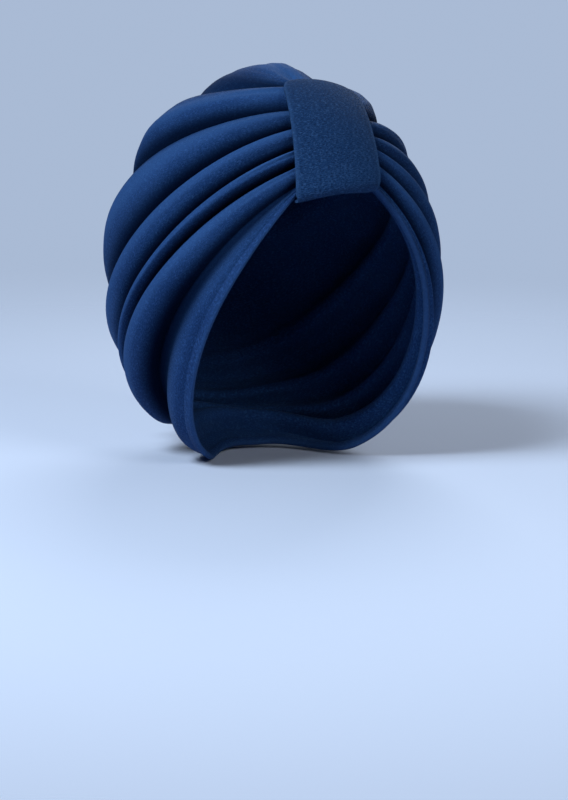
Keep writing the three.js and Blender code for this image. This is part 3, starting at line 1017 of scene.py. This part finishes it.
@dataclass
class FrontBand:
    """The doubled band over the gathers, turned in under the hem and swallowed by the crown at the top."""

    layout: ClothLayout
    steps_along: int = 90
    steps_across: int = 30
    edge_crowding: float = 0.35
    edge_thinning: float = 0.6
    edge_power: int = 8
    # Painted highlight: where it starts at the side edges, how fast it comes in, and how far it reaches down
    # from the top edge.
    highlight_start: float = 0.9
    highlight_blend: float = 0.08
    highlight_top: float = 1.2
    name: str = "front_band_jersey"

    def course(self) -> np.ndarray:
        """Angle and height above the form of the band's middle layer, along its length."""
        layout, band = self.layout, self.layout.band
        outside = layout.piece_gap + band.thickness / 2.0 + band.edge_drop
        inside = -(layout.fold_depth * band.turned_depth + layout.wall + band.tail_gap + band.thickness / 2.0)
        tail = math.degrees(band.tail / layout.form.half_depth)
        spots = [(band.bottom + tail, inside)]
        spots += [(band.bottom + beyond, mix(inside, outside, level)) for beyond, level in band.turn]
        for share, level in band.face:
            spots.append((mix(band.bottom, band.top, share), mix(inside, outside, level)))
        knots = np.array(spots, float)
        padded = np.concatenate([[2 * knots[0] - knots[1]], knots, [2 * knots[-1] - knots[-2]]])
        out = []
        for t in np.linspace(0.0, len(knots) - 1.0, self.steps_along + 1):
            k = min(int(t), len(knots) - 2)
            u = t - k
            a, b, c, d = padded[k : k + 4]
            square = 2 * a - 5 * b + 4 * c - d
            cube = 3 * b - a - 3 * c + d
            out.append(0.5 * (2 * b + (c - a) * u + square * u**2 + cube * u**3))
        return np.array(out)

    def build(self) -> bpy.types.Object:
        """Builds the band as a closed wall with full, rounded edges.

        Returns:
            The band's object.
        """
        form, band = self.layout.form, self.layout.band
        course = self.course()
        run = unit(np.gradient(course, axis=0) * np.array([math.radians(1.0) * form.half_depth, 1.0]))
        turns = np.linspace(-1.0, 1.0, self.steps_across + 1)
        across = mix(turns, np.sin(turns * math.pi / 2.0), self.edge_crowding)
        faces_points = []
        for face in (1.0, -1.0):
            thinned = np.sqrt(1.0 - self.edge_thinning * np.abs(across) ** self.edge_power)
            half = band.thickness / 2.0 * thinned
            rise = np.clip((band.top - course[:, 0]) / (band.top - band.bottom), 0.0, 1.0)
            skew = band.skew * across[:, None] * rise[None, :]
            step = math.degrees(1.0) / form.half_depth
            angle = course[None, :, 0] + skew - face * half[:, None] * run[None, :, 1] * step
            height = course[None, :, 1] + face * half[:, None] * run[None, :, 0]
            height = height - band.edge_drop * (across**2)[:, None]
            offset = band.middle(course[None, :, 0]) + across[:, None] * band.rounded_half(course[None, :, 0])
            faces_points.append(form.point(form.front(offset, angle), height))
        outer, inner = faces_points
        columns, rows = outer.shape[:2]
        count = columns * rows
        along = run_length(outer, 1)
        cloth = np.stack([(across * band.width / 2.0)[:, None] + 0.0 * along, along], axis=-1).reshape(-1, 2)
        faces = [*grid_faces(columns, rows, flip=True), *grid_faces(columns, rows, start=count)]
        ring = [*range(0, rows), *range(2 * rows - 1, count, rows), *range(count - 2, count - rows - 1, -1)]
        ring += list(range((columns - 2) * rows, 0, -rows))
        for here, there in zip(ring, ring[1:] + ring[:1]):
            faces.append([here, there, there + count, here + count])
        points = np.concatenate([outer.reshape(-1, 3), inner.reshape(-1, 3)])
        # Painted highlight along the band's side edges and its top edge.
        beside = smooth((np.abs(across) - self.highlight_start) / self.highlight_blend)
        above = smooth(course[:, 0] - course[-1, 0] + self.highlight_top)
        highlit = np.maximum(beside[:, None], above[None, :])
        painted_highlight = np.concatenate([highlit.ravel(), 0.0 * highlit.ravel()])
        piece = mesh_piece(self.name, points, faces, np.concatenate([cloth, cloth]), painted_highlight)
        weld_edges(piece)
        return piece

    def dress(self, piece: bpy.types.Object, material: bpy.types.Material) -> None:
        """Gives the band its jersey, hangs it on the body and hides the frame's band."""
        piece.data.materials.append(material)
        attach(piece, BODY)
        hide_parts("front_band")


@dataclass
class HemBinding:
    """The folded strip that edges the opening all round."""

    layout: ClothLayout
    sides: int = 16
    row_steps: int = 5
    thickness: float = 3.2 * MM
    overhang: float = 0.4 * MM
    squareness: float = 0.62
    name: str = "hem_binding_jersey"

    def build(self) -> bpy.types.Object:
        """Builds the strip as a closed ring of flattened sections.

        Returns:
            The strip's object.
        """
        layout = self.layout
        row = np.linspace(0.0, layout.rows, int(layout.rows) * self.row_steps + 1)
        turn = 2.0 * math.pi * np.arange(self.sides) / self.sides
        round_x = np.sign(np.cos(turn)) * np.abs(np.cos(turn)) ** self.squareness
        round_z = np.sign(np.sin(turn)) * np.abs(np.sin(turn)) ** self.squareness
        rings = []
        for side in (Side.RIGHT, Side.LEFT):
            share = layout.binding_share(side, row)
            place = share[:, None] / 2.0 * (1.0 + round_x[None, :])
            rows = row[:, None] + 0.0 * place
            hem = layout.line_depth(np.zeros(rows.shape, int), side, rows)
            height = self.thickness / 2.0 * (1.0 + round_z)[None, :] - hem - layout.wall - self.overhang
            rings.append(layout.form.point(layout.direction(place, side, rows), height + 0.0 * place))
        loop = np.concatenate([rings[0], rings[1][1:-1][::-1]], axis=0)
        count = len(loop)
        wrapped = np.concatenate([loop, loop[:1]])
        along = run_length(wrapped, 0)[:count]
        around = np.arange(self.sides) * (2.0 * layout.binding_width / self.sides)
        cloth = np.stack([along, around[None, :] + 0.0 * along], axis=-1).reshape(-1, 2)
        faces = []
        for here in range(count):
            first = here * self.sides
            other = (here + 1) % count * self.sides
            for corner in range(self.sides):
                after = (corner + 1) % self.sides
                faces.append([first + corner, first + after, other + after, other + corner])
        # Painted highlight along the strip's edge at the opening.
        highlit = smooth(-np.cos(turn))[None, :] + 0.0 * along
        piece = mesh_piece(self.name, loop.reshape(-1, 3), faces, cloth, highlit.ravel())
        weld_edges(piece)
        return piece

    def dress(self, piece: bpy.types.Object, material: bpy.types.Material) -> None:
        """Gives the strip its jersey, hangs it on the body and hides the frame's hem binding."""
        piece.data.materials.append(material)
        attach(piece, BODY)
        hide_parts("hem_binding")


@dataclass(frozen=True)
class SoftLight:
    """Soft square light: where it hangs, the side of its square, its watts and its colour."""

    name: str
    place: tuple[float, float, float]
    size: float
    power: float
    colour: tuple[float, float, float]

    def hang(self, aim: Vector) -> None:
        """Hangs the light so that it faces a point."""
        lamp = bpy.data.lights.new(self.name, "AREA")
        lamp.size = self.size
        lamp.energy = self.power
        lamp.color = self.colour
        piece = bpy.data.objects.new(self.name, lamp)
        piece.location = self.place
        piece.rotation_euler = (aim - Vector(self.place)).to_track_quat("-Z", "Y").to_euler()
        bpy.context.scene.collection.objects.link(piece)


LIGHTS = (
    SoftLight("key", (-1.0, -0.55, 0.95), 0.5, 34.0, (0.88, 0.95, 1.0)),
    SoftLight("front fill", (0.35, -1.2, 0.6), 0.6, 7.0, (1.0, 0.98, 0.95)),
    SoftLight("back fill", (0.7, 1.2, 0.7), 0.8, 16.0, (0.92, 0.96, 1.0)),
)


@dataclass(frozen=True)
class Studio:
    """Plain pale floor, soft light and the camera at the photographed angle."""

    azimuth: float = -22.0
    elevation: float = 6.162
    roll: float = 1.291
    distance: float = 1.5
    focal_pixels: float = 2924.0
    middle_x: float = 271.419
    middle_y: float = 277.036
    pale: tuple[float, float, float] = (0.42, 0.5, 0.66)
    backdrop: tuple[float, float, float] = (0.4, 0.495, 0.665)
    backdrop_light: float = 0.07
    floor_half: float = 2.0
    floor_solid: float = 0.25
    floor_gone: float = 0.95
    floor_roughness: float = 0.9

    def camera(self, target: Vector) -> None:
        """Sets the camera so that the target falls on its pixel in the 568 by 800 image."""
        a, e, r = (math.radians(v) for v in (self.azimuth, self.elevation, self.roll))
        back = Vector((math.sin(a) * math.cos(e), -math.cos(a) * math.cos(e), math.sin(e)))
        level = (-back).cross(Vector((0.0, 0.0, 1.0))).normalized()
        upright = level.cross(-back)
        right = level * math.cos(r) + upright * math.sin(r)
        up = upright * math.cos(r) - level * math.sin(r)
        turned = Matrix((right, up, back)).transposed().to_4x4()
        turned.translation = target + back * self.distance
        lens = bpy.data.cameras.new("photo view")
        lens.lens = self.focal_pixels * lens.sensor_width / PHOTO_HEIGHT
        lens.shift_x = (PHOTO_WIDTH / 2.0 - self.middle_x) / PHOTO_HEIGHT
        lens.shift_y = (self.middle_y - PHOTO_HEIGHT / 2.0) / PHOTO_HEIGHT
        lens.clip_start = 0.01
        camera = bpy.data.objects.new("photo view", lens)
        camera.matrix_world = turned
        bpy.context.scene.collection.objects.link(camera)
        bpy.context.scene.camera = camera

    def floor(self, level: float) -> None:
        """Lays a pale floor that fades into the backdrop away from the piece."""
        size = self.floor_half
        mesh = bpy.data.meshes.new("floor")
        mesh.from_pydata(
            [(-size, -size, level), (size, -size, level), (size, size, level), (-size, size, level)],
            [],
            [(0, 1, 2, 3)],
        )
        material = bpy.data.materials.new("pale floor")
        material.use_nodes = True
        kit = NodeKit(material.node_tree)
        shader = material.node_tree.nodes["Principled BSDF"]
        shader.inputs["Base Color"].default_value = (*self.pale, 1.0)
        shader.inputs["Roughness"].default_value = self.floor_roughness
        away = kit.add("ShaderNodeVectorMath", operation="LENGTH")
        kit.feed(away.inputs[0], kit.add("ShaderNodeTexCoord").outputs["Object"])
        seen = kit.remap(away.outputs["Value"], self.floor_solid, self.floor_gone, 1.0, 0.0)
        kit.feed(shader.inputs["Alpha"], seen)
        mesh.materials.append(material)
        floor = bpy.data.objects.new("floor", mesh)
        bpy.context.scene.collection.objects.link(floor)
        floor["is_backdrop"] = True

    def sky(self) -> None:
        """Sets the pale backdrop, and the even light that it gives."""
        world = bpy.data.worlds.new("studio")
        world.use_nodes = True
        kit = NodeKit(world.node_tree)
        ground = world.node_tree.nodes["Background"]
        ground.inputs["Color"].default_value = (*self.backdrop, 1.0)
        seen = kit.add("ShaderNodeLightPath").outputs["Is Camera Ray"]
        kit.feed(ground.inputs["Strength"], kit.remap(seen, 0.0, 1.0, self.backdrop_light, 1.0))
        bpy.context.scene.world = world

    def build(self, form: HeadForm, floor_level: float) -> None:
        """Sets camera, floor and lights around the head form's middle."""
        middle = Vector((0.0, 0.0, -form.head_top))
        bpy.context.scene.view_settings.view_transform = "Standard"
        self.camera(middle)
        self.floor(floor_level)
        self.sky()
        for lamp in LIGHTS:
            lamp.hang(middle)


# The cap's jersey carries painted shade in its creases.
CAP_JERSEY = JerseyFinish(
    "cap jersey",
    MelangeTone((0.0055, 0.028, 0.106), (0.028, 0.09, 0.26), (0.001, 0.006, 0.028)),
    paints_crease_shade=True,
)
BAND_JERSEY = JerseyFinish(
    "band jersey",
    MelangeTone((0.0035, 0.021, 0.074), (0.02, 0.062, 0.165), (0.0005, 0.004, 0.02)),
    fleck=0.6,
    wale=0.95 * MM,
    course=0.8 * MM,
    knit_depth=0.16 * MM,
    roughness=0.92,
)
BINDING_JERSEY = JerseyFinish(
    "binding jersey",
    MelangeTone((0.0055, 0.026, 0.1), (0.028, 0.085, 0.24), (0.001, 0.006, 0.028)),
)


def main() -> None:
    """Builds the turban piece by piece, dresses it and sets the studio."""
    logging.basicConfig(level=logging.INFO, format="%(name)s: %(message)s")
    cad_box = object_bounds()
    layout = ClothLayout()
    melange, knit = melange_group(), knit_group()
    makers = (
        (TurbanCloth(layout), CAP_JERSEY),
        (FrontBand(layout), BAND_JERSEY),
        (HemBinding(layout), BINDING_JERSEY),
    )
    for maker, finish in makers:
        piece = maker.build()
        maker.dress(piece, finish.build(melange, knit))
        LOG.info("%s: %d faces", piece.name, len(piece.data.polygons))
    Studio().build(layout.form, cad_box[0][2])
    bpy.context.view_layer.update()


if __name__ == "__main__":
    main()
